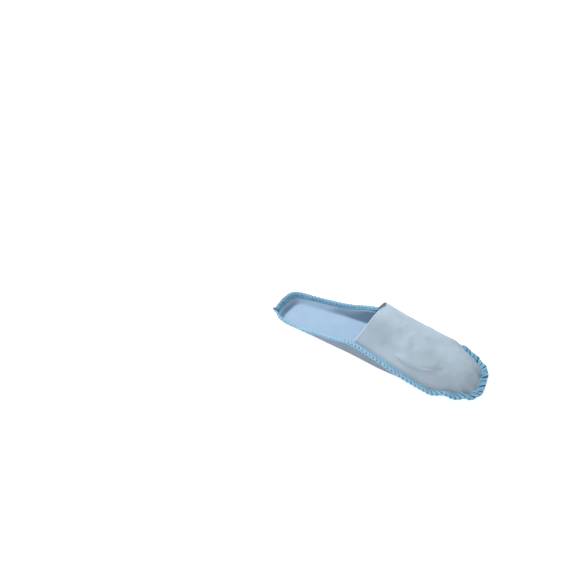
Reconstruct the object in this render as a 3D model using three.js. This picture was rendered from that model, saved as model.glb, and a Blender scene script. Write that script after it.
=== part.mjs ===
// A disposable nonwoven slipper with a closed toe and an open heel.
//
// A flat sole sheet is turned up all the way round. A vamp sheet arches over its front half.
// Their edges lie on each other in a narrow flange, and one overlocked edging wraps that edge
// round the whole sole. Millimetres: +X runs from heel to toe, +Z up, and the sole stands on Z = 0.
// "near" is the -Y side, where the inner side of the foot lies, and "far" is the +Y side.

import * as THREE from "three";

// Fabric
const SOLE_THICKNESS = 2.0;
const SOLE_EDGE_THICKNESS = 1.2; // the padding is squeezed flat under the stitches
const VAMP_THICKNESS = 1.0;
const CLEARANCE = 0.3; // between two pieces that touch on the real slipper

// Flange and edging
const FLANGE_WIDTH = 7.0;
const EDGING_REACH = 5.5; // how far the stitches bite in from the edge
const EDGING_THICKNESS = 0.8;
const EDGING_STEP = 0.35; // stations over which the edging drops behind the end of the vamp

// Sole sections, from the middle of the heel end to the tip of the toe.
// x: place along the foot. near, far: half widths to the fabric's edge. nearRise, farRise: height of
// that edge. wall: slope of the turned-up side, in degrees. flange: slope of the flange, in degrees.
// flat: share of the half width that lies on the floor. steps: facets from this row to the next.
const SECTIONS = [
  { x: -138.5, near: 0, far: 0, nearRise: 18, farRise: 18, wall: 46, flange: 46, flat: 0.8, steps: 4 },
  { x: -135.5, near: 22, far: 22, nearRise: 21, farRise: 17, wall: 46, flange: 46, flat: 0.74, steps: 4 },
  { x: -126, near: 30, far: 33, nearRise: 17, farRise: 14, wall: 44, flange: 44, flat: 0.68, steps: 4 },
  { x: -97, near: 33, far: 37, nearRise: 14, farRise: 13, wall: 44, flange: 44, flat: 0.66, steps: 3 },
  { x: -56, near: 36, far: 39, nearRise: 19, farRise: 17, wall: 60, flange: 44, flat: 0.81, steps: 4 },
  { x: -18, near: 40, far: 43, nearRise: 25, farRise: 24, wall: 80, flange: 24, flat: 0.89, steps: 3 },
  { x: 20, near: 46, far: 47, nearRise: 20, farRise: 19, wall: 74, flange: 18, flat: 0.91, steps: 3 },
  { x: 48, near: 49, far: 50, nearRise: 13, farRise: 13, wall: 52, flange: 14, flat: 0.89, steps: 3 },
  { x: 79, near: 50, far: 48, nearRise: 7.5, farRise: 8, wall: 28, flange: 6, flat: 0.88, steps: 6 },
  { x: 106, near: 46, far: 42, nearRise: 6, farRise: 6.5, wall: 18, flange: 0, flat: 0.87, steps: 6 },
  { x: 127, near: 38, far: 30, nearRise: 5.5, farRise: 6, wall: 15, flange: -4, flat: 0.86, steps: 5 },
  { x: 137, near: 24, far: 15, nearRise: 5.5, farRise: 6, wall: 15, flange: -4, flat: 0.85, steps: 4 },
  { x: 139, near: 0, far: 0, nearRise: 6, farRise: 6, wall: 15, flange: -4, flat: 0.85, steps: 0 },
];
const TOE = SECTIONS.length - 1; // station of the toe's tip
const STATIONS = 2 * TOE; // stations round the whole edge
const SPINE = { back: -98, front: 78 }; // ends of the line that the sole's sections fan out from
const WALL_BEND = 0.55; // roundness of the bends at the foot and top of the turned-up side

// Vamp
const JUNCTION = 5; // station where the vamp's open edge meets the sole
const THROAT = new THREE.Vector3(5, -1, 65); // top of the open edge
const THROAT_SWEEP = 0.38; // how straight the open edge runs back from its top, from 0 to 1
const THROAT_LEAN = 0.25; // how far the open edge leans forward where it rises from the flange
const APEX = new THREE.Vector3(66, -8, 40); // where the sections start to fan out over the toes
const RIDGE_TILT = 0.4; // across the ridge, down towards the far side
const RIDGE_SLOPE = (APEX.z - THROAT.z) / (APEX.x - THROAT.x);
const APEX_SHARE = 0.62; // share of the way to the tip at which the apex is reached
const WALL_AT_THROAT = 80; // slopes of the vamp where it meets the flange, in degrees
const WALL_AT_TOE = 52;
const SHOULDER = 0.45; // roundness of the arch at its top, as a share of its half span
const CHEEK = { near: 0.58, far: 0.7 }; // roundness of the arch at its foot, as a share of its height

// Ruffles of the flange round the toe
const RUFFLE_HEIGHT = 1.3;
const RUFFLES_PER_STATION = 1.1;
const RUFFLE_SPAN = 3.9; // stations to each side of the tip
const RUFFLE_FADE = 1.5;
const RUFFLE_SHIFT = 3.6; // radians

// Facets across the sections
const SOLE_WALL_FACETS = 5;
const SOLE_FOLD = 2 + SOLE_WALL_FACETS; // column of the sole's sections where the flange starts
const VAMP_FACETS = 9;
const FLANGE_FACETS = 2;
const NOSE_FACETS = 4;

// Soft bulges and hollows of the vamp: station, share of the way from ridge to flange, their
// spreads, and the height pushed outwards.
const BULGES = [
  { station: 7.6, down: 0.62, along: 0.75, across: 0.22, push: 2.2 }, // joint of the big toe
  { station: 6.2, down: 0.55, along: 0.6, across: 0.25, push: -1.8 }, // hollow behind it
  { station: 15.8, down: 0.62, along: 1.2, across: 0.26, push: 3 }, // little toe and its joint
  { station: 9.6, down: 0.5, along: 0.5, across: 0.1, push: -1.2 }, // fold beside the big toe
];

const UP = new THREE.Vector3(0, 0, 1);
const radians = THREE.MathUtils.degToRad;

// Both sides of the table as one closed ring of stations.
const RING = Array.from({ length: STATIONS }, (_, station) => {
  const isFar = station > TOE;
  const row = SECTIONS[isFar ? STATIONS - station : station];
  return { ...row, y: isFar ? row.far : -row.near, rise: isFar ? row.farRise : row.nearRise };
});

// A column of the ring at any station, on a closed Catmull-Rom spline.
function onRing(column, station) {
  const wrapped = THREE.MathUtils.euclideanModulo(station, STATIONS);
  const first = Math.floor(wrapped);
  const t = wrapped - first;
  const [a, b, c, d] = [-1, 0, 1, 2].map((k) => RING[(first + k + STATIONS) % STATIONS][column]);
  const bend = (2 * a - 5 * b + 4 * c - d) * t * t + (3 * b - a - 3 * c + d) * t * t * t;
  return 0.5 * (2 * b + (c - a) * t + bend);
}

function ruffle(station) {
  const fade = (RUFFLE_SPAN - Math.abs(station - TOE)) / RUFFLE_FADE;
  const swell = THREE.MathUtils.smoothstep(fade, 0, 1);
  const angle = 2 * Math.PI * RUFFLES_PER_STATION * (station - TOE) + RUFFLE_SHIFT;
  return RUFFLE_HEIGHT * swell * Math.sin(angle);
}

// The fabric's edge at a station: its point, the level way out, and the flange's own directions.
function edgeAt(station) {
  const small = 1e-3;
  const alongX = onRing("x", station + small) - onRing("x", station - small);
  const alongY = onRing("y", station + small) - onRing("y", station - small);
  const outward = new THREE.Vector3(alongY, -alongX, 0).normalize();
  const slope = radians(onRing("flange", station));
  return {
    point: new THREE.Vector3(onRing("x", station), onRing("y", station), onRing("rise", station)),
    outward,
    flange: outward.clone().multiplyScalar(Math.cos(slope)).addScaledVector(UP, Math.sin(slope)),
    above: outward.clone().multiplyScalar(-Math.sin(slope)).addScaledVector(UP, Math.cos(slope)),
  };
}

function bezier(points, count) {
  return new THREE.CubicBezierCurve3(...points).getPoints(count);
}

function strip(from, to, count) {
  return Array.from({ length: count }, (_, i) => from.clone().lerp(to, (i + 1) / count));
}

// Adds the ruffle to a section. It grows from nothing at one column to its full height at the fold.
function ruffled(section, station, still, fold) {
  section.forEach((point, column) => {
    const share = THREE.MathUtils.clamp((column - still) / (fold - still), 0, 1);
    point.z += ruffle(station) * share ** 3;
  });
  return section;
}

// The stations that are cut into facets, from one station to another.
function stationsBetween(first, last) {
  const cuts = [];
  for (let k = first; k < last; k++) {
    const row = Math.min(k, STATIONS - 1 - k);
    const { steps } = SECTIONS[row];
    for (let i = 0; i < steps; i++) cuts.push(k + i / steps);
  }
  return cuts;
}

// One section of the sole's upper face: the spine, the flat part, the wall, then the flange.
function soleSection(station) {
  const edge = edgeAt(station);
  const fold = edge.point.clone().addScaledVector(edge.flange, -FLANGE_WIDTH);
  const spine = new THREE.Vector3(
    THREE.MathUtils.clamp(edge.point.x, SPINE.back, SPINE.front),
    0,
    SOLE_THICKNESS,
  );
  const level = new THREE.Vector3(fold.x, fold.y, SOLE_THICKNESS);
  const flatEnd = spine.clone().lerp(level, onRing("flat", station));
  const out = level.clone().sub(spine).normalize();
  const slope = radians(onRing("wall", station));
  const wall = edge.outward.clone().multiplyScalar(Math.cos(slope)).addScaledVector(UP, Math.sin(slope));
  const turn = [
    flatEnd,
    flatEnd.clone().addScaledVector(out, WALL_BEND * flatEnd.distanceTo(level)),
    fold.clone().addScaledVector(wall, -WALL_BEND * flatEnd.distanceTo(fold)),
    fold,
  ];
  const section = [
    spine,
    spine.clone().lerp(flatEnd, 0.5),
    ...bezier(turn, SOLE_WALL_FACETS),
    ...strip(fold, edge.point, FLANGE_FACETS),
  ];
  return ruffled(section, station, 2, SOLE_FOLD);
}

// The sole thins towards its edge, over the last part of the wall.
function soleThickness(column) {
  const share = THREE.MathUtils.smoothstep(column, SOLE_FOLD - 3, SOLE_FOLD);
  return THREE.MathUtils.lerp(SOLE_THICKNESS, SOLE_EDGE_THICKNESS, share);
}

// How far a station lies on the way from the junction (0) to the tip of the toe (1).
function toeShare(station) {
  return (TOE - Math.abs(station - TOE) - JUNCTION) / (TOE - JUNCTION);
}

function bulge(station, down) {
  return BULGES.reduce((sum, b) => {
    const far = ((station - b.station) / b.along) ** 2 + ((down - b.down) / b.across) ** 2;
    return sum + b.push * Math.exp(-far);
  }, 0);
}

// One section of the vamp's lining side, from its ridge down to the flange and out to the edge.
function vampSection(station) {
  const edge = edgeAt(station);
  const rim = edge.point.clone().addScaledVector(edge.above, CLEARANCE);
  const fold = rim.clone().addScaledVector(edge.flange, -FLANGE_WIDTH);
  const share = toeShare(station);
  const forward = Math.sin((Math.PI / 2) * Math.min(share / APEX_SHARE, 1));
  const ridge = new THREE.Vector3().lerpVectors(THROAT, APEX, forward);
  const out = new THREE.Vector3(fold.x - ridge.x, fold.y - ridge.y, 0);
  const span = out.length();
  out.normalize();
  const slope = radians(THREE.MathUtils.lerp(WALL_AT_THROAT, WALL_AT_TOE, share));
  const wallUp = out.clone().multiplyScalar(-Math.cos(slope)).addScaledVector(UP, Math.sin(slope));
  wallUp.x += THROAT_LEAN * (1 - forward);
  const shoulder = ridge.clone().addScaledVector(out, SHOULDER * span);
  shoulder.x = THREE.MathUtils.lerp(ridge.x, shoulder.x, Math.max(forward, THROAT_SWEEP));
  shoulder.z += RIDGE_SLOPE * (shoulder.x - ridge.x) - RIDGE_TILT * (shoulder.y - ridge.y);
  const rise = (ridge.z - fold.z) / Math.sin(slope);
  const cheek = fold.clone().addScaledVector(wallUp, rise * (station > TOE ? CHEEK.far : CHEEK.near));
  const arch = bezier([ridge, shoulder, cheek, fold], VAMP_FACETS);
  arch.forEach((p, i) => {
    const down = i / VAMP_FACETS;
    const outwards = out.clone().multiplyScalar(down).addScaledVector(UP, 1 - down).normalize();
    p.addScaledVector(outwards, bulge(station, down) * Math.sin(Math.PI * down));
  });
  return ruffled([...arch, ...strip(fold, rim, FLANGE_FACETS)], station, 0, VAMP_FACETS);
}

// The two triangles between four corners that run round a face.
const quad = (a, b, c, d) => [[a, b, c], [a, c, d]];

// Corners that lie on each other become one: the points kept, and each corner's place among them.
function weld(corners) {
  const places = new Map();
  const points = [];
  const index = corners.map((corner) => {
    const place = corner.toArray().map((v) => Math.round(v * 1000)).join();
    if (!places.has(place)) places.set(place, points.push(corner) - 1);
    return places.get(place);
  });
  return { points, index };
}

// Triangles over a grid of sections, with corners welded. A closed grid joins its last section to
// its first, and each section's last point to its first.
function skin(sections, { ring, round }) {
  const across = sections[0].length;
  const { points, index } = weld(sections.flat());
  const at = (i, j) => index[(i % sections.length) * across + (j % across)];
  const triangles = [];
  for (let i = 0; i < sections.length - (ring ? 0 : 1); i++)
    for (let j = 0; j < across - (round ? 0 : 1); j++)
      triangles.push(...quad(at(i, j), at(i, j + 1), at(i + 1, j + 1), at(i + 1, j)));
  const whole = triangles.filter(([a, b, c]) => a !== b && b !== c && c !== a);
  return { points, index, triangles: whole };
}

function geometryOf(points, triangles) {
  return new THREE.BufferGeometry().setFromPoints(points).setIndex(triangles.flat());
}

// The edges of a skin that only one triangle has, each in that triangle's direction.
function openEdges(triangles) {
  const edges = triangles.flatMap(([a, b, c]) => [[a, b], [b, c], [c, a]]);
  const known = new Set(edges.map(([a, b]) => `${a},${b}`));
  return edges.filter(([a, b]) => !known.has(`${b},${a}`));
}

// A sheet of cloth: a skin, its copy at depth(column) below it along its own normals, and a wall
// along each open edge. A negative depth puts the copy above the skin.
function sheet(sections, ring, depth) {
  const across = sections[0].length;
  const { points, index, triangles } = skin(sections, { ring, round: false });
  const surface = geometryOf(points, triangles);
  surface.computeVertexNormals();
  const normals = surface.getAttribute("normal");
  const copy = points.map((point, i) => {
    const column = index.indexOf(i) % across;
    const normal = new THREE.Vector3().fromBufferAttribute(normals, i);
    return point.clone().addScaledVector(normal, -depth(column));
  });
  const below = points.length;
  const solid = [
    ...triangles,
    ...triangles.map(([a, b, c]) => [a + below, c + below, b + below]),
    ...openEdges(triangles).flatMap(([a, b]) => quad(b, a, a + below, b + below)),
  ];
  const facing = depth(0) > 0 ? solid : solid.map(([a, b, c]) => [a, c, b]);
  return geometryOf([...points, ...copy], facing);
}

// One section of the edging, a channel that wraps the fabric's edge: round its nose, then back
// along its lower leg and out along its upper one.
function edgingSection(station) {
  const edge = edgeAt(station);
  const behind = (JUNCTION - Math.min(station, STATIONS - station)) / EDGING_STEP;
  const vampShare = 1 - THREE.MathUtils.smoothstep(behind, 0, 1);
  const top = CLEARANCE + vampShare * (VAMP_THICKNESS + CLEARANCE);
  const bottom = -SOLE_EDGE_THICKNESS - CLEARANCE;
  const middle = (top + bottom) / 2;
  const half = (top - bottom) / 2 + EDGING_THICKNESS;
  const nose = Array.from({ length: NOSE_FACETS + 1 }, (_, i) => {
    const angle = Math.PI * (0.5 - i / NOSE_FACETS);
    return [CLEARANCE + EDGING_THICKNESS * Math.cos(angle), middle + half * Math.sin(angle)];
  });
  const outline = [
    ...nose,
    [-EDGING_REACH, bottom - EDGING_THICKNESS],
    [-EDGING_REACH, bottom],
    [CLEARANCE, bottom],
    [CLEARANCE, top],
    [-EDGING_REACH, top],
    [-EDGING_REACH, top + EDGING_THICKNESS],
  ];
  const section = outline.map(([out, up]) =>
    edge.point.clone().addScaledVector(edge.flange, out).addScaledVector(edge.above, up),
  );
  section.forEach((point) => {
    point.z += ruffle(station);
  });
  return section;
}

function makeSole() {
  return sheet(stationsBetween(0, STATIONS).map(soleSection), true, soleThickness);
}

function makeVamp() {
  const stations = [...stationsBetween(JUNCTION, STATIONS - JUNCTION), STATIONS - JUNCTION];
  return sheet(stations.map(vampSection), false, () => -VAMP_THICKNESS);
}

function makeEdging() {
  const sections = stationsBetween(0, STATIONS).map(edgingSection);
  const { points, triangles } = skin(sections, { ring: true, round: true });
  return geometryOf(points, triangles);
}

function piece(name, geometry, color, roughness) {
  const material = new THREE.MeshStandardMaterial({ color, roughness, metalness: 0 });
  geometry.computeVertexNormals();
  const mesh = new THREE.Mesh(geometry, material);
  mesh.name = name;
  return mesh;
}

const slipper = new THREE.Group();
slipper.add(
  piece("sole", makeSole(), 0xc3d6e6, 0.9),
  piece("vamp", makeVamp(), 0xc6d9e8, 0.85),
  piece("overlock_edging", makeEdging(), 0x7fc0e2, 0.7),
);

export default slipper;
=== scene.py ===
"""A disposable nonwoven slipper: two cloth sheets, sewn together by one overlocked edge."""

import math

import bpy
import numpy as np
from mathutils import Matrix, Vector


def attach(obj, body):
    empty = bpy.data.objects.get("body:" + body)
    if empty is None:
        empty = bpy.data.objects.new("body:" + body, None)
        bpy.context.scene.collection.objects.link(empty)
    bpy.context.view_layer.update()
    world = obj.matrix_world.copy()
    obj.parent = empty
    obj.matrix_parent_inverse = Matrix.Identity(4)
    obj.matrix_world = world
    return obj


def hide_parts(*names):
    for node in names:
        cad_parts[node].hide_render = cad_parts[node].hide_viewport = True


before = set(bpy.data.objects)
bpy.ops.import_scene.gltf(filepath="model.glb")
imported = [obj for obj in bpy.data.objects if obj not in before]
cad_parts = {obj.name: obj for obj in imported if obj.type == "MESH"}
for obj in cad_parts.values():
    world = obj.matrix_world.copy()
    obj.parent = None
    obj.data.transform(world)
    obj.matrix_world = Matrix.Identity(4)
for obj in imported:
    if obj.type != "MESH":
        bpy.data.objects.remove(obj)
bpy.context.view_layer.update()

# Lengths are in millimetres until a mesh is made. A station is a place along the cloth's edge:
# 0 is the middle of the heel, 12 the tip of the toe, and 13 to 23 lead back along the far side.
MM = 0.001
UP = np.array([0.0, 0.0, 1.0])
TINY = 1e-12

# The cloth's edge at each station from the heel to the toe:
# x, half width near and far, height near and far, slope of the wall and of the flange, flat share
SECTIONS = [
    (-138.5, 0, 0, 18, 18, 46, 46, 0.80),
    (-135.5, 22, 22, 21, 17, 46, 46, 0.74),
    (-126, 30, 33, 17, 14, 44, 44, 0.68),
    (-97, 33, 37, 14, 13, 44, 44, 0.66),
    (-56, 36, 39, 19, 17, 60, 44, 0.81),
    (-18, 40, 43, 25, 24, 80, 24, 0.89),
    (20, 46, 47, 20, 19, 74, 18, 0.91),
    (48, 49, 50, 13, 13, 52, 14, 0.89),
    (79, 50, 48, 7.5, 8, 28, 6, 0.88),
    (106, 46, 42, 6, 6.5, 18, 0, 0.87),
    (127, 38, 30, 5.5, 6, 15, -4, 0.86),
    (137, 24, 15, 5.5, 6, 15, -4, 0.85),
    (139, 0, 0, 6, 6, 15, -4, 0.85),
]
COLUMNS = ["x", "y", "rise", "wall", "flange", "flat"]
TOE = len(SECTIONS) - 1
STATIONS = 2 * TOE
FLANGE_WIDTH = 7.0
EDGE_SAMPLES = 4001  # along the near edge, where its length is measured
SEAM_SAMPLES = 12001  # and round the whole edge

# Sole. Its spine is the line from which its sections fan out.
SOLE_THICKNESS = 2.0
SOLE_EDGE_THICKNESS = 1.0  # under the stitches
SPINE = (-98.0, 78.0)  # where it starts and ends, along x
WALL_BEND = 0.55  # how far the wall's curve keeps its direction at both ends
WALL_REACH = 3  # how fast the flange's tips and ruffles die out down the wall: a power

# Vamp. Its ridge runs from the throat, where the foot goes in, down to the apex over the toes.
VAMP_THICKNESS = 0.7
CLEARANCE = 0.3  # between the two sheets
JUNCTION = 5  # the station where the vamp's opening meets the edge
THROAT = np.array([8.0, -1.0, 66.5])
THROAT_SWEEP = 0.38  # how much of their way back the shoulders keep at the throat
THROAT_LEAN = 0.25  # how far the cheeks lean forward at the throat
APEX = np.array([66.0, -8.0, 40.0])
APEX_SHARE = 0.62  # share of the way to the toe at which the ridge reaches the apex
RIDGE_SLOPE = (APEX[2] - THROAT[2]) / (APEX[0] - THROAT[0])
RIDGE_TILT = 0.4  # fall towards the far side for each millimetre across
WALL_AT_THROAT = 70  # slope of the cheeks above the fold, in degrees
WALL_AT_TOE = 52
SHOULDER = 0.45  # how far the arch keeps its direction from the ridge
CHEEK_NEAR = 0.58  # and up from the fold
CHEEK_FAR = 0.7
CHEEK_BLEND = 2  # stations beside the toe over which the near cheek turns into the far one
TOE_ROUND = 0.8  # stations over which the near side turns into the far one at the toe
FOLD_REACH = 9  # how fast the flange's tips and ruffles die out up the vamp: a power

# Ruffles of the flange round the toe
RUFFLE_HEIGHT = 1.3
RUFFLES_PER_STATION = 1.1
RUFFLE_SPAN = 3.9
RUFFLE_FADE = 1.5
RUFFLE_SHIFT = 3.6

# Places where the flange stands up from the floor or sinks to it: station, spread, height
LIFTS = [
    (0.75, 0.55, -4.0),
    (8.35, 0.2, -1.6),
    (8.85, 0.2, 2.2),
    (10.0, 0.2, 1.2),
    (13.2, 0.16, 1.2),
    (15.05, 0.3, 3.2),
    (15.9, 0.5, -1.5),
]

# Places where the flange tips up out of its slope: station, spread, degrees
TIPS = [(6.6, 1.4, -16), (8.87, 0.18, 26), (10.05, 0.15, 26), (14.0, 0.7, 26), (15.9, 0.4, -15)]

# Places where the edge is pulled out or in: station, spread, push out. The heel's near corner
# ends in a point, where the thread was cut off.
PULLS = [(0.8, 0.13, 2.2), (1.55, 0.42, -4.0), (8.25, 0.6, 1.5), (11.1, 0.7, 2.2)]
PULL_STAND = 0.6  # share of a pull that turns the flange instead of moving its fold

# Soft bulges and hollows of the vamp: station, share of the way down, spreads, push outwards
BULGES = [
    (7.6, 0.62, 0.9, 0.22, 2.0),
    (6.15, 0.8, 0.75, 0.25, -7.0),
    (15.9, 0.62, 1.2, 0.26, 2.7),
    (5.75, 0.66, 0.5, 0.2, -1.6),
    (6.95, 0.5, 0.35, 0.28, 1.2),
    (9.0, 0.78, 0.9, 0.12, -1.0),
    (11.2, 0.72, 0.7, 0.2, 1.2),
    (9.9, 0.93, 0.5, 0.06, -1.6),
    (13.4, 0.85, 0.6, 0.18, -2.0),
    (14.6, 0.86, 0.55, 0.2, -3.6),
    (15.3, 0.8, 0.5, 0.2, 5.0),
]

# The fold that runs forward over the side of the toes: station, share of the way down
FOLD_LINE = [(6.3, 0.83), (6.8, 0.78), (7.3, 0.745), (8.0, 0.665), (9.0, 0.55), (10.4, 0.47)]
FOLD_HEIGHT = 1.5
FOLD_START = (6.3, 7.0)  # the stations over which it rises
FOLD_END = (7.6, 9.6)  # and those over which it dies out
FOLD_BACK = 0.1  # spread of the fold above its line, as a share of the way down
FOLD_LIP = 0.022  # and below it
FOLD_DIP = (0.07, 0.05, 0.5)  # hollow under the lip: how far down, spread, share of the height

# Ripples of both sheets: waves that run in several directions for each length
RIPPLE_LENGTHS = (34, 27, 21, 17, 13, 10, 8)
RIPPLE_DIRECTIONS = 3
RIPPLE_SHARE = 0.003  # of a wave's length, for its height
RIPPLE_SEED = 7

# Columns of the two sheets' grids, from the spine or ridge out to the edge
GRID_STEP = 1.6  # between stations along the edge
SOLE_FLAT_CUTS = 8
SOLE_WALL_CUTS = 14
SOLE_FOLD = SOLE_FLAT_CUTS + SOLE_WALL_CUTS
SQUEEZE_CUTS = 8  # columns over which the padding gets thinner towards the stitches
LIMP_CUTS = 2  # columns on both sides of the wall's middle that ripple freely
VAMP_CUTS = 60
CALM_CUTS = 12  # columns over which the vamp's ripples die out towards its fold
FLANGE_CUTS = 6
WELD_DECIMALS = 4

# Overlock stitches
STITCH_PITCH = 5.2
TOE_PITCH = 8.4  # the stitches spread out round the toe
SPREAD_SPAN = 2.8  # stations on both sides of the spread's middle
SPREAD_FADE = 1.6
SPREAD_SHIFT = 0.4  # stations from the toe to the spread's middle
STITCH_BITE = 6.2
NARROW_BITE = 0.76  # share of the bite along the two long sides
NARROW_START = (2.0, 3.0)  # the stations over which the bite narrows
NARROW_END = (8.3, 9.3)  # and those over which it widens again
STITCH_LEAN = 0.9  # run along the edge for each millimetre out towards it
SEAM_STEP = 0.35  # stations over which the stitches drop behind the end of the vamp

# Threads
LOOPER_WIDTH = 0.17  # half a strand's width, as a share of the stitch
LOOPER_HEIGHT = 0.55
NEEDLE_RADIUS = 0.4
THREAD_JITTER = [0.012, 0.12, 0.05, 0.0]  # spread of a knot's four values
LOOPER_SEED = 21
NEEDLE_SEED = 22
THREAD_SIDES = 8
THREAD_SAMPLES = 4  # from knot to knot
THREAD_PLIES = 2
PLY_DEPTH = 0.12
TWIST = 2.2  # of a thread's plies, in radians for each millimetre
TAIL_STATION = 0.8  # where the loose end leaves the seam
TAIL_RADIUS = 0.9
TAIL_SIDES = 10
TAIL_SAMPLES = 10
TAIL_PLIES = 3
TAIL_PLY_DEPTH = 0.22
TAIL_TWIST = 9 * np.pi  # over the whole tail
TAIL_TIP = 0.1  # share of the tail that is rounded off
TAIL_BLUNT = 0.97  # share of that roundness, so that its end keeps some width

# Bed of the stitches: the lowest layer of thread, coloured dark as painted shade between the
# stitches
BED_STEP = 1.1
BED_MARGIN = 0.4  # between the bed's inner edge and the end of the bite
BED_THICKNESS = 0.25
BED_CLEARANCE = 0.03
BED_NOSE = (0.12, 0.45)  # how far out its rounded nose starts, and how far on it stands out
BED_NOSE_TURNS = (-90, -45, 0, 45, 90)
BED_INNER_NOSE = 0.08


# Curves and blends

def smooth(value, low, high):
    """0 up to low, 1 from high on, and an S between them."""
    t = np.clip((value - low) / (high - low), 0, 1)
    return t * t * (3 - 2 * t)


def bell(value, middle, spread):
    return np.exp(-(((value - middle) / spread) ** 2))


def bumps(station, table):
    """The soft bumps of a table, at a station. Rows: station, spread, height."""
    return sum(height * bell(station, middle, spread) for middle, spread, height in table)


def length(vectors):
    return np.linalg.norm(vectors, axis=-1, keepdims=True)


def unit(vectors):
    return vectors / np.maximum(length(vectors), TINY)


def way_along(points):
    """How far it is along a line of points to each of them."""
    return np.concatenate([[0], np.cumsum(length(np.diff(points, axis=0))[:, 0])])


def between(a, b, c, d, t):
    """A Catmull-Rom curve from b to c, with a before them and d after them."""
    bend = (2 * a - 5 * b + 4 * c - d) * t**2 + (3 * b - a - 3 * c + d) * t**3
    return 0.5 * (2 * b + (c - a) * t + bend)


def curve_through(rows, samples):
    """A curve from the second row of a table to the last but one, with its end left off."""
    t = (np.arange(samples) / samples)[None, :, None]
    count = len(rows) - 3
    around = (rows[k:count + k, None, :] for k in range(4))
    return between(*around, t).reshape(-1, rows.shape[1])


def bezier(points, share):
    """A cubic curve for each station, at each share of its way. Points are arrays of stations."""
    a, b, c, d = (p[:, None, :] for p in points)
    t = share[None, :, None]
    return a * (1 - t) ** 3 + 3 * b * t * (1 - t) ** 2 + 3 * c * t**2 * (1 - t) + d * t**3


def strip(start, end, count):
    """Straight columns from start to end, with the start left off."""
    t = (np.arange(count) + 1)[None, :, None] / count
    return start[:, None, :] * (1 - t) + end[:, None, :] * t


# The cloth's edge

def ring_table():
    """Both sides of the sections as one closed ring of stations."""
    rows = []
    for station in range(STATIONS):
        far = station > TOE
        row = SECTIONS[STATIONS - station if far else station]
        x, near_half, far_half, near_rise, far_rise, wall, flange, flat = row
        y = far_half if far else -near_half
        rise = far_rise if far else near_rise
        rows.append((x, y, rise, wall, flange, flat))
    return np.array(rows, float)


RING = ring_table()


def on_ring(column, station):
    """A column of the ring at any station, on a closed curve."""
    values = RING[:, COLUMNS.index(column)]
    wrapped = np.mod(station, STATIONS)
    first = np.floor(wrapped).astype(int)
    around = (values[(first + k) % STATIONS] for k in (-1, 0, 1, 2))
    return between(*around, wrapped - first)


def ruffle(station):
    """How far the flange stands above its own place."""
    fade = (RUFFLE_SPAN - np.abs(station - TOE)) / RUFFLE_FADE
    angle = 2 * np.pi * RUFFLES_PER_STATION * (station - TOE) + RUFFLE_SHIFT
    wave = RUFFLE_HEIGHT * smooth(fade, 0, 1) * np.sin(angle)
    return wave + bumps(station, LIFTS)


def edge_at(station, plain=False):
    """The cloth's edge: its point, the flange's way out to it, and the way up from the flange.

    A plain edge is without the places where it is tipped or pulled.
    """
    station = np.asarray(station, float)
    small = 1e-3  # of a station, to find the edge's direction
    along_x = on_ring("x", station + small) - on_ring("x", station - small)
    along_y = on_ring("y", station + small) - on_ring("y", station - small)
    outward = unit(np.stack([along_y, -along_x, 0 * along_x], -1))
    tip = 0 * station if plain else bumps(station, TIPS)
    pull = 0 * station if plain else bumps(station, PULLS)
    slope = np.radians(on_ring("flange", station) + tip)
    reach = FLANGE_WIDTH * np.cos(slope) + PULL_STAND * pull
    slope = np.arctan2(FLANGE_WIDTH * np.sin(slope), reach)[..., None]
    flange = outward * np.cos(slope) + UP * np.sin(slope)
    above = -outward * np.sin(slope) + UP * np.cos(slope)
    point = np.stack([on_ring(c, station) for c in ("x", "y", "rise")], -1)
    return point + outward * pull[..., None], flange, above


def edge_run(last, samples):
    """Stations from the heel to the last one, and the way along the edge to each of them."""
    stations = np.linspace(0, last, samples)
    return stations, way_along(edge_at(stations)[0])


def even_stations(step):
    """Stations about a step apart along the near edge, and their mirrors along the far one."""
    fine, run = edge_run(TOE, EDGE_SAMPLES)
    count = int(round(run[-1] / step))
    near = np.interp(np.linspace(0, run[-1], count + 1), run, fine)
    near[np.argmin(np.abs(near - JUNCTION))] = JUNCTION
    return np.concatenate([near, STATIONS - near[-2:0:-1]])


def side_share(station):
    """The stitches bite less deep along the two long sides than round the toe and heel."""
    from_heel = TOE - np.abs(np.mod(station, STATIONS) - TOE)
    side = smooth(from_heel, *NARROW_START) * (1 - smooth(from_heel, *NARROW_END))
    return 1 + (NARROW_BITE - 1) * side


# The two sheets

def ruffled(grid, stations, share):
    """Each column of a grid takes its share of the ruffles."""
    grid[..., 2] += ruffle(stations)[:, None] * share[None, :]
    return grid


def sole_grid(stations):
    """The sole's upper face: the spine, the flat part, the wall, then the flange."""
    edge, flange, _ = edge_at(stations)
    plain_edge, plain_flange, _ = edge_at(stations, plain=True)
    tipped_fold = edge - flange * FLANGE_WIDTH
    fold = plain_edge - plain_flange * FLANGE_WIDTH
    height = np.full(len(stations), SOLE_THICKNESS)
    spine = np.stack([np.clip(plain_edge[:, 0], *SPINE), 0 * stations, height], -1)
    level = np.stack([fold[:, 0], fold[:, 1], height], -1)
    flat_end = spine + (level - spine) * on_ring("flat", stations)[:, None]
    out = unit(level - spine)
    slope = np.radians(on_ring("wall", stations))[:, None]
    wall = out * np.cos(slope) + UP * np.sin(slope)
    foot = flat_end + out * WALL_BEND * length(flat_end - level)
    top = fold - wall * WALL_BEND * length(flat_end - fold)
    rise = np.linspace(0, 1, SOLE_WALL_CUTS + 1)[1:]
    side = bezier([flat_end, foot, top, fold], rise)
    side = side + (tipped_fold - fold)[:, None, :] * rise[None, :, None] ** WALL_REACH
    flat = strip(spine, flat_end, SOLE_FLAT_CUTS)
    rim = strip(tipped_fold, edge, FLANGE_CUTS)
    grid = np.concatenate([spine[:, None, :], flat, side, rim], axis=1)
    share = np.clip((np.arange(grid.shape[1]) - SOLE_FLAT_CUTS) / SOLE_WALL_CUTS, 0, 1)
    return ruffled(grid, stations, share**WALL_REACH)


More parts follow.
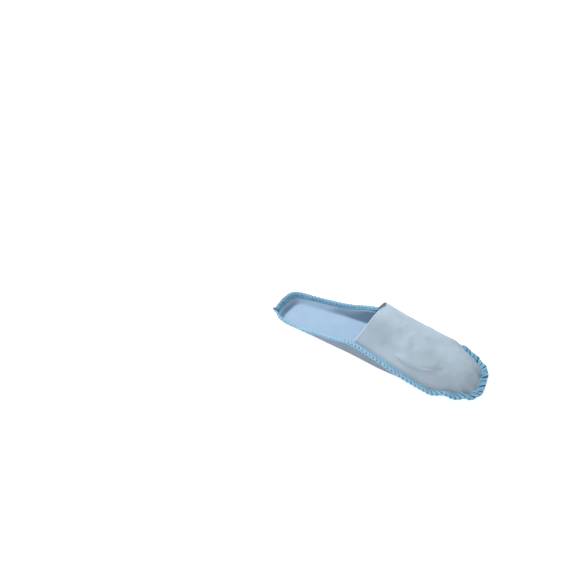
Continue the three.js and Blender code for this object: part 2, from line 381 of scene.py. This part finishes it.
def sole_depth(columns):
    """The padding is squeezed thinner under the stitches."""
    share = smooth(columns, SOLE_FOLD - SQUEEZE_CUTS, SOLE_FOLD)
    return SOLE_THICKNESS + (SOLE_EDGE_THICKNESS - SOLE_THICKNESS) * share


def vamp_push(stations, down):
    push = np.zeros((len(stations), len(down)))
    for station, middle, along, across, height in BULGES:
        push += height * bell(stations, station, along)[:, None] * bell(down, middle, across)
    return push


def fold_push(stations, down):
    """The cloth above the fold line stands over the cloth below it."""
    line = np.interp(stations, *np.array(FOLD_LINE).T)
    ends = smooth(stations, *FOLD_START) * (1 - smooth(stations, *FOLD_END))
    below = down[None, :] - line[:, None]
    shelf = np.where(below < 0, bell(below, 0, FOLD_BACK), bell(below, 0, FOLD_LIP))
    dip_middle, dip_spread, dip_share = FOLD_DIP
    dip = dip_share * bell(below, dip_middle, dip_spread)
    return FOLD_HEIGHT * ends[:, None] * (shelf - dip)


def vamp_flange(stations, plain):
    """The vamp's edge and its fold, on the lining side."""
    edge, flange, above = edge_at(stations, plain)
    rim = edge + above * CLEARANCE
    return rim, rim - flange * FLANGE_WIDTH * side_share(stations)[:, None]


def vamp_shoulder(ridge, out, span, forward):
    """Where the arch leads to from the ridge. It is swept forward at the throat."""
    shoulder = ridge + out * SHOULDER * span
    reach = np.maximum(forward, THROAT_SWEEP)
    shoulder[:, 0] = ridge[:, 0] + (shoulder[:, 0] - ridge[:, 0]) * reach
    shoulder[:, 2] += RIDGE_SLOPE * (shoulder[:, 0] - ridge[:, 0])
    shoulder[:, 2] -= RIDGE_TILT * (shoulder[:, 1] - ridge[:, 1])
    return shoulder


def vamp_cheek(stations, ridge, fold, out, share, forward):
    """Where the arch comes from at the fold: above it, at the wall's slope."""
    slope = np.radians(WALL_AT_THROAT + (WALL_AT_TOE - WALL_AT_THROAT) * share)[:, None]
    wall_up = -out * np.cos(slope) + UP * np.sin(slope)
    wall_up[:, 0] += THROAT_LEAN * (1 - forward)
    rise = (ridge - fold)[:, 2:] / np.sin(slope)
    far = smooth(stations, TOE - CHEEK_BLEND, TOE + CHEEK_BLEND)[:, None]
    return fold + wall_up * rise * (CHEEK_NEAR + (CHEEK_FAR - CHEEK_NEAR) * far)


def vamp_grid(stations):
    """The vamp's lining side, from its ridge down to the flange and out to the edge."""
    rim, tipped_fold = vamp_flange(stations, plain=False)
    _, fold = vamp_flange(stations, plain=True)
    aside = np.hypot(stations - TOE, TOE_ROUND)
    share = np.clip((TOE - aside - JUNCTION) / (TOE - JUNCTION), 0, 1)
    forward = np.sin(np.pi / 2 * np.minimum(share / APEX_SHARE, 1))
    ridge = THROAT + (APEX - THROAT) * forward[:, None]
    level = (fold - ridge) * [1, 1, 0]
    out = unit(level)
    shoulder = vamp_shoulder(ridge, out, length(level), forward)
    cheek = vamp_cheek(stations, ridge, fold, out, share, forward)
    down = np.linspace(0, 1, VAMP_CUTS + 1)
    arch = bezier([ridge, shoulder, cheek, fold], down)
    outwards = unit(out[:, None, :] * down[None, :, None] + UP * (1 - down)[None, :, None])
    push = vamp_push(stations, down) * np.sin(np.pi * down) + fold_push(stations, down)
    arch = arch + outwards * push[..., None]
    arch = arch + (tipped_fold - fold)[:, None, :] * down[None, :, None] ** FOLD_REACH
    grid = np.concatenate([arch, strip(tipped_fold, rim, FLANGE_CUTS)], axis=1)
    share = np.clip(np.arange(grid.shape[1]) / VAMP_CUTS, 0, 1)
    return ruffled(grid, stations, share**FOLD_REACH)


def ripples(points):
    """Soft unevenness of a limp sheet, from waves that run in many directions."""
    rng = np.random.default_rng(RIPPLE_SEED)
    total = np.zeros(len(points))
    for wave in RIPPLE_LENGTHS:
        for _ in range(RIPPLE_DIRECTIONS):
            way = unit(rng.normal(size=3)) * 2 * np.pi / wave
            total += wave * RIPPLE_SHARE * np.sin(points @ way + rng.uniform(0, 2 * np.pi))
    return total


# Meshes

def weld(points):
    """Points that lie on each other become one.

    Gives the points that are left, the place of every old point among them, and the place of
    each of them among the old ones.
    """
    keys = np.round(points, WELD_DECIMALS)
    _, first, place = np.unique(keys, axis=0, return_index=True, return_inverse=True)
    return points[first], place.reshape(-1), first


def grid_faces(rows, columns, ring, closed_across=False):
    """The quads of a grid of points. In a ring, the last row joins the first one."""
    i = np.arange(rows if ring else rows - 1)
    j = np.arange(columns if closed_across else columns - 1)
    i, j = (a.reshape(-1) for a in np.meshgrid(i, j, indexing="ij"))
    ni = (i + 1) % rows
    nj = (j + 1) % columns
    return np.stack([i * columns + j, i * columns + nj, ni * columns + nj, ni * columns + j], -1)


def tidy_faces(quads):
    """Quads with a welded side become triangles."""
    faces = []
    for quad in quads.tolist():
        corners = [c for k, c in enumerate(quad) if c != quad[k - 1]]
        if len(set(corners)) >= 3:
            faces.append(corners)
    return faces


def point_normals(points, faces):
    normals = np.zeros_like(points)
    for face in faces:
        a, b, c = points[face[0]], points[face[1]], points[face[2]]
        normal = np.cross(b - a, c - a)
        if len(face) == 4:
            normal = normal + np.cross(c - a, points[face[3]] - a)
        normals[face] += normal
    return unit(normals)


def open_sides(faces):
    """The sides that only one face has."""
    sides = {side: True for face in faces for side in zip(face, face[1:] + face[:1])}
    return [(a, b) for a, b in sides if (b, a) not in sides]


def make_object(name, points, faces, material):
    mesh = bpy.data.meshes.new(name)
    mesh.from_pydata((points * MM).tolist(), [], faces)
    mesh.validate()
    mesh.polygons.foreach_set("use_smooth", [True] * len(mesh.polygons))
    mesh.update()
    piece = bpy.data.objects.new(name, mesh)
    bpy.context.scene.collection.objects.link(piece)
    mesh.materials.append(material)
    return piece


def cloth(name, grid, ring, depth, still, material, shaded_back_material=None):
    """A closed sheet: the grid's face, its copy at depth along its own normals, and its rims.

    depth and still have a value for each column. still is 1 where the column keeps its place,
    and 0 where the cloth may ripple freely.
    """
    rows, columns = grid.shape[:2]
    points, place, first = weld(grid.reshape(-1, 3))
    faces = tidy_faces(place[grid_faces(rows, columns, ring)])
    normals = point_normals(points, faces)
    points = points + normals * (ripples(points) * (1 - np.tile(still, rows)[first]))[:, None]
    copy = points - normals * np.tile(depth, rows)[first][:, None]
    below = len(points)
    solid = faces + [[corner + below for corner in reversed(face)] for face in faces]
    solid += [[b, a, a + below, b + below] for a, b in open_sides(faces)]
    if depth[0] < 0:
        solid = [face[::-1] for face in solid]
    piece = make_object(name, np.concatenate([points, copy]), solid, material)
    # the copy's faces take a darker material of their own: painted shade
    if shaded_back_material:
        piece.data.materials.append(shaded_back_material)
        for polygon in piece.data.polygons[len(faces):2 * len(faces)]:
            polygon.material_index = 1
    return piece


# The seam

SEAM_STATIONS, SEAM_RUN = edge_run(STATIONS, SEAM_SAMPLES)
SEAM_LENGTH = SEAM_RUN[-1]


def stitch_starts():
    """Where each stitch starts along the edge, and how long it is."""
    from_middle = np.abs(SEAM_STATIONS - TOE - SPREAD_SHIFT)
    spread = smooth(SPREAD_SPAN - from_middle, 0, SPREAD_FADE)
    pitch = STITCH_PITCH + (TOE_PITCH - STITCH_PITCH) * spread
    steps = np.diff(SEAM_RUN) * 2 / (pitch[1:] + pitch[:-1])
    counted = np.concatenate([[0], np.cumsum(steps)])
    count = int(round(counted[-1]))
    starts = np.interp(np.arange(count + 1) * counted[-1] / count, counted, SEAM_RUN)
    return starts[:-1], np.diff(starts)


STITCH_STARTS, STITCH_LENGTHS = stitch_starts()
STITCHES = len(STITCH_STARTS)


def seam_points(run, inward, height, layer):
    """Points beside the edge, the way along it, and the way up from the flange.

    layer is 1 on the cloth's top, 0 at its nose and -1 underneath.
    """
    station = np.interp(np.mod(run, SEAM_LENGTH), SEAM_RUN, SEAM_STATIONS)
    point, flange, above = edge_at(station)
    point = point + UP * ruffle(station)[:, None]
    behind = (JUNCTION - np.minimum(station, STATIONS - station)) / SEAM_STEP
    top = (1 - smooth(behind, 0, 1)) * (CLEARANCE + VAMP_THICKNESS)
    bottom = -SOLE_EDGE_THICKNESS
    base = (top + bottom) / 2 + layer * (top - bottom) / 2
    lift = base + np.sign(layer) * height
    inward = np.where(inward > 0, inward * side_share(station), inward)
    points = point - flange * inward[:, None] + above * lift[:, None]
    return points, np.cross(flange, above), above


def bed(name, material):
    """The cloth's edge under the stitches, bound by the lowest layer of thread and dark with
    painted shade.
    """
    cuts = int(round(SEAM_LENGTH / BED_STEP))
    run = np.arange(cuts) * SEAM_LENGTH / cuts
    bite = STITCH_BITE - BED_MARGIN
    start, reach = BED_NOSE
    turns = np.radians(BED_NOSE_TURNS)
    nose = [(-start - reach * math.cos(turn), math.sin(turn)) for turn in turns]
    outer = [(bite, -1), (bite / 2, -1)] + nose + [(bite / 2, 1), (bite, 1)]
    inner = [(bite, 1), (0, 1), (-BED_INNER_NOSE, 0), (0, -1), (bite, -1)]
    outline = [(inward, BED_THICKNESS, layer) for inward, layer in outer]
    outline += [(inward, BED_CLEARANCE, layer) for inward, layer in inner]
    lines = [
        seam_points(run, np.full(cuts, inward), height, np.full(cuts, float(layer)))[0]
        for inward, height, layer in outline
    ]
    faces = grid_faces(cuts, len(outline), ring=True, closed_across=True)[:, ::-1]
    return make_object(name, np.stack(lines, axis=1).reshape(-1, 3), faces.tolist(), material)


def ring_angles(sides):
    return 2 * np.pi * np.arange(sides) / sides


def lobes(sides, plies, depth, turn):
    """How far the plies of a thread stand out, for each ring and each of its sides."""
    return 1 + depth * np.cos(plies * ring_angles(sides)[None, :] - turn[:, None])


def tube_skin(points, forward, facing, half_width, half_height):
    """Rings of points round a line. The halves have a value for each ring and each side."""
    across = unit(np.cross(forward, facing))
    other = np.cross(across, forward)
    angle = ring_angles(half_width.shape[1])
    ring = across[:, None, :] * (np.cos(angle) * half_width)[..., None]
    ring = ring + other[:, None, :] * (np.sin(angle) * half_height)[..., None]
    return (points[:, None, :] + ring).reshape(-1, 3)


def sewn_path(knots, seed):
    """The knots of one stitch, repeated round the whole edge a little unevenly, as one curve."""
    rows = np.repeat(np.array(knots, float)[None, :, :], STITCHES, axis=0)
    rng = np.random.default_rng(seed)
    rows = rows + rng.normal(0, 1, rows.shape) * THREAD_JITTER
    lean = STITCH_LEAN * (STITCH_BITE - rows[..., 1])
    rows[..., 0] = STITCH_STARTS[:, None] + rows[..., 0] * STITCH_LENGTHS[:, None] + lean
    rows = rows.reshape(-1, 4)
    turn = np.array([SEAM_LENGTH, 0, 0, 0])
    closed = np.concatenate([rows[-1:] - turn, rows, rows[:2] + turn])
    return curve_through(closed, THREAD_SAMPLES)


def thread(name, knots, size, material, seed):
    """A twisted thread sewn round the whole edge.

    Knots: share of the stitch, way in from the edge, height over the cloth, layer. size is half
    the strand's width at each stitch, and half its height.
    """
    half_widths, half_height = size
    path = sewn_path(knots, seed)
    points, along, above = seam_points(*path.T)
    forward = unit(np.roll(points, -1, axis=0) - np.roll(points, 1, axis=0))
    flat = (path[:, 3] ** 2)[:, None]
    facing = unit(above * flat + np.cross(above, along) * (1 - flat))
    shape = lobes(THREAD_SIDES, THREAD_PLIES, PLY_DEPTH, TWIST * way_along(points))
    wide = np.repeat(half_widths, len(knots) * THREAD_SAMPLES)[:, None]
    skin = tube_skin(points, forward, facing, wide * shape, half_height * shape)
    faces = grid_faces(len(points), THREAD_SIDES, ring=True, closed_across=True)
    piece = make_object(name, skin, faces.tolist(), material)
    # 1 at the nose of the stitches, where the material paints a highlight
    near_edge = np.repeat(1 - np.clip(path[:, 1] / STITCH_BITE, 0, 1), THREAD_SIDES)
    nose_highlight_share = piece.data.attributes.new("near_edge", "FLOAT", "POINT")
    nose_highlight_share.data.foreach_set("value", near_edge.astype(np.float32))
    return piece


def thread_tail(name, knots, material):
    """A loose end of the thread chain. Knots: way along from its station, and as a thread's."""
    start = float(np.interp(TAIL_STATION, SEAM_STATIONS, SEAM_RUN))
    rows = np.array(knots, float) + [start, 0, 0, 0]
    ends = [2 * rows[:1] - rows[1:2], rows, 2 * rows[-1:] - rows[-2:-1]]
    path = np.concatenate([curve_through(np.concatenate(ends), TAIL_SAMPLES), rows[-1:]])
    points = seam_points(*path.T)[0]
    forward = unit(np.gradient(points, axis=0))
    share = np.linspace(0, 1, len(points))
    tip = np.clip((share - (1 - TAIL_TIP)) / TAIL_TIP, 0, TAIL_BLUNT)
    plies = lobes(TAIL_SIDES, TAIL_PLIES, TAIL_PLY_DEPTH, TAIL_TWIST * share)
    reach = TAIL_RADIUS * plies * np.sqrt(1 - tip**2)[:, None]
    skin = tube_skin(points, forward, UP, reach, reach)
    faces = grid_faces(len(points), TAIL_SIDES, ring=False, closed_across=True).tolist()
    faces += [list(range(TAIL_SIDES))[::-1], list(range(len(skin) - TAIL_SIDES, len(skin)))]
    return make_object(name, skin, faces, material)


# Materials

def srgb(red, green, blue):
    """A colour as the shaders take it, from its usual values of 0 to 255."""
    channels = [c / 255 for c in (red, green, blue)]
    return [c / 12.92 if c <= 0.04045 else ((c + 0.055) / 1.055) ** 2.4 for c in channels] + [1]


class Nodes:
    """A node tree with short ways to add and link."""

    def __init__(self, tree):
        self.tree = tree

    def add(self, kind, **values):
        node = self.tree.nodes.new(kind)
        for key, value in values.items():
            if hasattr(node, key):
                setattr(node, key, value)
            else:
                node.inputs[key.replace("_", " ")].default_value = value
        return node

    def link(self, source, target):
        self.tree.links.new(source, target)

    def feed(self, sockets, sources):
        """Each socket gets a value, or a link from another node's output."""
        for socket, source in zip(sockets, sources):
            if isinstance(source, (int, float, list)):
                socket.default_value = source
            else:
                self.link(source, socket)

    def math(self, operation, *sources, clamp=False):
        node = self.add("ShaderNodeMath", operation=operation, use_clamp=clamp)
        self.feed(node.inputs, sources)
        return node.outputs[0]

    def blend(self, share, first, second):
        """A mix of two colours. A Mix node has sockets for numbers and vectors before theirs."""
        node = self.add("ShaderNodeMix", data_type="RGBA")
        self.feed((node.inputs[0], node.inputs[6], node.inputs[7]), (share, first, second))
        return node.outputs[2]

    def place(self):
        return self.add("ShaderNodeTexCoord").outputs["Object"]


def surface_group(name, inputs):
    """A node group with the given inputs, which puts out a colour, a height and a roughness."""
    group = bpy.data.node_groups.new(name, "ShaderNodeTree")
    for label, kind, value in inputs:
        socket = group.interface.new_socket(label, in_out="INPUT", socket_type=kind)
        socket.default_value = value
    for label, kind in (("Color", "Color"), ("Height", "Float"), ("Roughness", "Float")):
        group.interface.new_socket(label, in_out="OUTPUT", socket_type="NodeSocket" + kind)
    nodes = Nodes(group)
    return group, nodes, nodes.add("NodeGroupInput").outputs, nodes.add("NodeGroupOutput").inputs


def nonwoven_group():
    """Pressed fibres with a fine grid of bond points and soft cloudy shading."""
    group, n, given, out = surface_group(
        "nonwoven_fibres",
        [
            ("Base", "NodeSocketColor", srgb(190, 207, 222)),
            ("Cloud", "NodeSocketColor", srgb(170, 190, 208)),
            ("Fibre Strength", "NodeSocketFloat", 0.25),
            ("Cloud Scale", "NodeSocketFloat", 45.0),
        ],
    )
    fibre_lean = (0.3, 0.2)
    fibre_turns = (0.5, 2.1)
    fibre_scale = (260, 2600, 1500)
    fibre_shade = srgb(110, 135, 160)
    thin_fibre = 0.62  # where a fibre is as light as the cloth
    bond_reach, bond_gain = 0.35, 2.6
    cloud_gain, cloud_start = 1.6, -0.35
    fibre_relief, bond_relief = 0.5, 0.5
    rough_gain, rough_start = 0.15, 0.8

    place = n.place()
    fibres = []
    for turn in fibre_turns:
        layer = n.add("ShaderNodeMapping", Rotation=(*fibre_lean, turn), Scale=fibre_scale)
        n.link(place, layer.inputs["Vector"])
        noise = n.add("ShaderNodeTexNoise", Scale=1.0, Detail=3.0, Roughness=0.6, Distortion=1.2)
        n.link(layer.outputs[0], noise.inputs["Vector"])
        fibres.append(noise.outputs[0])
    fibre = n.math("MAXIMUM", *fibres)
    dots = n.add("ShaderNodeTexVoronoi", Scale=620.0, Randomness=0.35)
    n.link(place, dots.inputs["Vector"])
    bond = n.math("SMOOTH_MIN", dots.outputs["Distance"], bond_reach)
    bond_mask = n.math("MULTIPLY", bond, bond_gain, clamp=True)
    cloud = n.add("ShaderNodeTexNoise", Detail=3.0, Roughness=0.55)
    n.link(given["Cloud Scale"], cloud.inputs["Scale"])
    n.link(place, cloud.inputs["Vector"])
    share = n.math("MULTIPLY_ADD", cloud.outputs[0], cloud_gain, cloud_start)
    tone = n.blend(share, given["Base"], given["Cloud"])
    grain = n.math("MULTIPLY", n.math("SUBTRACT", thin_fibre, fibre), given["Fibre Strength"])
    n.link(n.blend(grain, tone, fibre_shade), out["Color"])
    fibre_height = n.math("MULTIPLY", fibre, fibre_relief)
    bond_height = n.math("MULTIPLY", bond_mask, bond_relief)
    n.link(n.math("ADD", fibre_height, bond_height), out["Height"])
    n.link(n.math("MULTIPLY_ADD", fibre, rough_gain, rough_start), out["Roughness"])
    return group


def thread_group():
    """Spun thread: fine hairs, slow changes of shade along the seam, and a painted highlight at
    the nose.
    """
    group, n, given, out = surface_group(
        "spun_thread",
        [
            ("Base", "NodeSocketColor", srgb(135, 195, 225)),
            ("Shade", "NodeSocketColor", srgb(80, 150, 190)),
            ("Nose Highlight", "NodeSocketColor", srgb(190, 226, 242)),
            ("Near Edge", "NodeSocketFloat", 0.0),
        ],
    )
    slow_gain, slow_start = 1.8, -0.6
    hair_middle, hair_gain = 0.5, 0.7
    highlight_power = 2.0
    rough_gain, rough_start = 0.2, 0.6

    place = n.place()
    hairs = n.add("ShaderNodeTexNoise", Scale=2600.0, Detail=3.0, Distortion=0.8)
    slow = n.add("ShaderNodeTexNoise", Scale=160.0, Detail=2.0)
    for noise in (hairs, slow):
        n.link(place, noise.inputs["Vector"])
    share = n.math("MULTIPLY_ADD", slow.outputs[0], slow_gain, slow_start)
    hair = n.math("MULTIPLY", n.math("SUBTRACT", hairs.outputs[0], hair_middle), hair_gain)
    mixed = n.math("ADD", share, hair, clamp=True)
    # the thread is painted lighter towards the edge's nose: a painted highlight
    tip = n.math("POWER", given["Near Edge"], highlight_power)
    n.link(n.blend(tip, n.blend(mixed, given["Base"], given["Shade"]), given["Nose Highlight"]), out["Color"])
    n.link(hairs.outputs[0], out["Height"])
    n.link(n.math("MULTIPLY_ADD", hairs.outputs[0], rough_gain, rough_start), out["Roughness"])
    return group


NONWOVEN = nonwoven_group()
SPUN = thread_group()
SPECULAR = 0.3
RELIEF = 0.0002  # height of the bump, in metres


def surface_material(name, group, colours, bump, sheen=0.0):
    """A material from one of the groups above, with its own colours."""
    material = bpy.data.materials.new(name)
    material.use_nodes = True
    n = Nodes(material.node_tree)
    shader = material.node_tree.nodes["Principled BSDF"]
    shader.inputs["Specular IOR Level"].default_value = SPECULAR
    shader.inputs["Sheen Weight"].default_value = sheen
    surface = n.add("ShaderNodeGroup", node_tree=group)
    for label, colour in colours.items():
        surface.inputs[label].default_value = srgb(*colour)
    if "Near Edge" in surface.inputs:
        along = n.add("ShaderNodeAttribute", attribute_name="near_edge")
        n.link(along.outputs["Fac"], surface.inputs["Near Edge"])
    relief = n.add("ShaderNodeBump", Strength=bump, Distance=RELIEF)
    n.link(surface.outputs["Height"], relief.inputs["Height"])
    n.link(relief.outputs[0], shader.inputs["Normal"])
    n.link(surface.outputs["Color"], shader.inputs["Base Color"])
    n.link(surface.outputs["Roughness"], shader.inputs["Roughness"])
    return material


def nonwoven(name, base, cloud, bump):
    return surface_material(name, NONWOVEN, {"Base": base, "Cloud": cloud}, bump)


# tip is the colour of the painted highlight at the nose of the stitches
def spun(name, base, nose_highlight_share, tip, bump, sheen=0.0):
    colours = {"Base": base, "Shade": nose_highlight_share, "Nose Highlight": tip}
    return surface_material(name, SPUN, colours, bump, sheen)


# The sole's inside is the vamp's nonwoven painted darker: painted shade over the flat, which the
# lamp lights more than the vamp
shaded_sole_cloth = nonwoven("sole_nonwoven", (140, 164, 186), (130, 155, 178), 0.35)
# The sole's underside is the same nonwoven painted darker and greyer: painted shade on the faces
# that look down
shaded_under_cloth = nonwoven("sole_underside_painted_shade", (138, 150, 166), (124, 136, 152), 0.4)
vamp_cloth = nonwoven("vamp_nonwoven", (174, 191, 204), (164, 182, 196), 0.35)
# The looper threads are painted lighter at the nose of the stitches: a painted highlight
looper_thread = spun(
    "looper_thread", (112, 160, 190), (96, 146, 180), (142, 184, 205), 0.6, sheen=0.1
)
needle_cotton = spun(
    "needle_thread", (128, 178, 206), (108, 160, 194), (128, 178, 206), 0.5, sheen=0.1
)
# The bed is darker than the threads over it: partly the lowest thread, partly painted shade in the
# gaps between the stitches
bed_thread_and_shade = spun("bed_thread_and_shade", (76, 126, 154), (60, 108, 138), (72, 120, 148), 0.7)
tail_thread = spun("tail_thread", (48, 98, 144), (30, 70, 112), (48, 98, 144), 0.6)

# Cloth
stations = even_stations(GRID_STEP)
sole_columns = np.arange(1 + SOLE_FOLD + FLANGE_CUTS)
wall_middle = SOLE_FLAT_CUTS + SOLE_WALL_CUTS / 2
sole_still = smooth(np.abs(sole_columns - wall_middle), LIMP_CUTS, SOLE_WALL_CUTS / 2)
sole = cloth(
    "sole_sheet",
    sole_grid(stations),
    ring=True,
    depth=sole_depth(sole_columns),
    still=sole_still,
    material=shaded_sole_cloth,
    shaded_back_material=shaded_under_cloth,
)
front = stations[(stations >= JUNCTION) & (stations <= STATIONS - JUNCTION)]
vamp_columns = np.arange(1 + VAMP_CUTS + FLANGE_CUTS)
vamp = cloth(
    "vamp_sheet",
    vamp_grid(front),
    ring=False,
    depth=np.full(len(vamp_columns), -VAMP_THICKNESS),
    still=smooth(vamp_columns, VAMP_CUTS - CALM_CUTS, VAMP_CUTS),
    material=vamp_cloth,
)

# Stitches. Knots: share of the stitch, way in from the edge, height over the cloth, layer
BITE, TOP = STITCH_BITE, LOOPER_HEIGHT
UPPER_KNOTS = [
    (0.00, BITE, 0.1, 1),
    (0.00, 0.66 * BITE, TOP + 0.3, 1),
    (0.00, 0.33 * BITE, TOP + 0.3, 1),
    (0.00, 0.0, TOP * 0.9, 0.85),
    (0.15, -TOP - 0.45, 0, 0),
    (0.34, 0.0, TOP * 0.8, 0.85),
    (0.34, 0.33 * BITE, TOP + 0.2, 1),
    (0.34, 0.66 * BITE, TOP + 0.2, 1),
    (0.36, BITE, 0.15, 1),
    (0.66, BITE + 0.1, 0.2, 1),
]
HALF_STITCH = 0.5  # the under thread does the same on the other side, half a stitch later
UNDER_KNOTS = [
    (share + HALF_STITCH, inward, height, -layer) for share, inward, height, layer in UPPER_KNOTS
]
NEEDLE_KNOTS = [
    (0, BITE + 0.2, -0.1, 1),
    (0.3, BITE + 0.25, 0.55, 1),
    (0.7, BITE + 0.25, 0.55, 1),
]
TAIL_KNOTS = [
    (11, 1.6, 1.1, 1),
    (8, 0.9, 1.8, 1),
    (5, 0.3, 1.9, 1),
    (2, -0.2, 1.7, 1),
    (-1, -2.0, 1.0, 0.9),
]
looper_size = (LOOPER_WIDTH * STITCH_LENGTHS, LOOPER_HEIGHT)
needle_size = (np.full(STITCHES, NEEDLE_RADIUS), NEEDLE_RADIUS)
binding = bed("overlock_bed", bed_thread_and_shade)
upper = thread("overlock_upper_thread", UPPER_KNOTS, looper_size, looper_thread, LOOPER_SEED)
under = thread("overlock_under_thread", UNDER_KNOTS, looper_size, looper_thread, LOOPER_SEED)
needle = thread("overlock_needle_thread", NEEDLE_KNOTS, needle_size, needle_cotton, NEEDLE_SEED)
tail = thread_tail("overlock_tail", TAIL_KNOTS, tail_thread)

for piece in (sole, vamp, binding, upper, under, needle, tail):
    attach(piece, "root")
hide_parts("sole")
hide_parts("vamp")
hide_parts("overlock_edging")

# Stage. The floor glows a little, so that it stays pale under a soft light.
FLOOR_REACH = 6
FLOOR_CORNERS = [(-1, -1), (1, -1), (1, 1), (-1, 1)]
FLOOR_GREY = 0.9
FLOOR_ROUGHNESS = 0.9
FLOOR_GLOW = 0.7

floor_mesh = bpy.data.meshes.new("floor")
floor_points = [(x * FLOOR_REACH, y * FLOOR_REACH, 0) for x, y in FLOOR_CORNERS]
floor_mesh.from_pydata(floor_points, [], [(0, 1, 2, 3)])
floor = bpy.data.objects.new("floor", floor_mesh)
bpy.context.scene.collection.objects.link(floor)
floor_paint = bpy.data.materials.new("floor_paint")
floor_paint.use_nodes = True
floor_shader = floor_paint.node_tree.nodes["Principled BSDF"]
floor_shader.inputs["Base Color"].default_value = (FLOOR_GREY, FLOOR_GREY, FLOOR_GREY, 1)
floor_shader.inputs["Roughness"].default_value = FLOOR_ROUGHNESS
floor_shader.inputs["Emission Color"].default_value = (1, 1, 1, 1)
floor_shader.inputs["Emission Strength"].default_value = FLOOR_GLOW
floor_mesh.materials.append(floor_paint)


# Lights

def add_turned(name, data, place, backwards):
    """A lamp or camera at its place, with its back turned towards backwards."""
    thing = bpy.data.objects.new(name, data)
    thing.location = place
    thing.rotation_mode = "QUATERNION"
    thing.rotation_quaternion = (-backwards).to_track_quat("-Z", "Y")
    bpy.context.scene.collection.objects.link(thing)
    return thing


def area_light(name, place, aim, size, watts, spread=180, tint=(1, 1, 1)):
    lamp = bpy.data.lights.new(name, "AREA")
    lamp.spread = math.radians(spread)
    lamp.color = tint
    lamp.shape = "DISK"
    lamp.size = size
    lamp.energy = watts
    add_turned(name, lamp, place, Vector(place) - Vector(aim))


area_light("key", (-0.29, 0.12, 0.53), (-0.04, 0, 0.05), size=0.3, watts=1.05, spread=80)
area_light("front", (0.1, -1.3, 0.7), (0, 0, 0.03), size=1.0, watts=3, tint=(1.0, 0.9, 0.88))

SKY = 0.38  # light from all around; the camera sees a white backdrop
world = bpy.data.worlds.new("studio")
world.use_nodes = True
sky = Nodes(world.node_tree)
seen = sky.add("ShaderNodeLightPath").outputs["Is Camera Ray"]
backdrop = world.node_tree.nodes["Background"]
backdrop.inputs["Color"].default_value = (1, 1, 1, 1)
sky.link(sky.math("MAXIMUM", SKY, seen), backdrop.inputs["Strength"])
bpy.context.scene.world = world
bpy.context.scene.view_settings.view_transform = "Standard"

# Camera, placed in metres. The slipper lies low and to the right in its view.
AZIMUTH = math.radians(30)
ELEVATION = math.radians(36.5)
DISTANCE = 0.75
LEFT = 0.1146
RAISED = 0.0764
SENSOR = 36
LENS = 37.18

back = Vector((
    math.sin(AZIMUTH) * math.cos(ELEVATION),
    -math.cos(AZIMUTH) * math.cos(ELEVATION),
    math.sin(ELEVATION),
))
right = Vector((math.cos(AZIMUTH), math.sin(AZIMUTH), 0))
lens = bpy.data.cameras.new("camera")
lens.sensor_width = SENSOR
lens.lens = LENS
spot = back * DISTANCE - right * LEFT + back.cross(right) * RAISED
bpy.context.scene.camera = add_turned("camera", lens, spot, back)
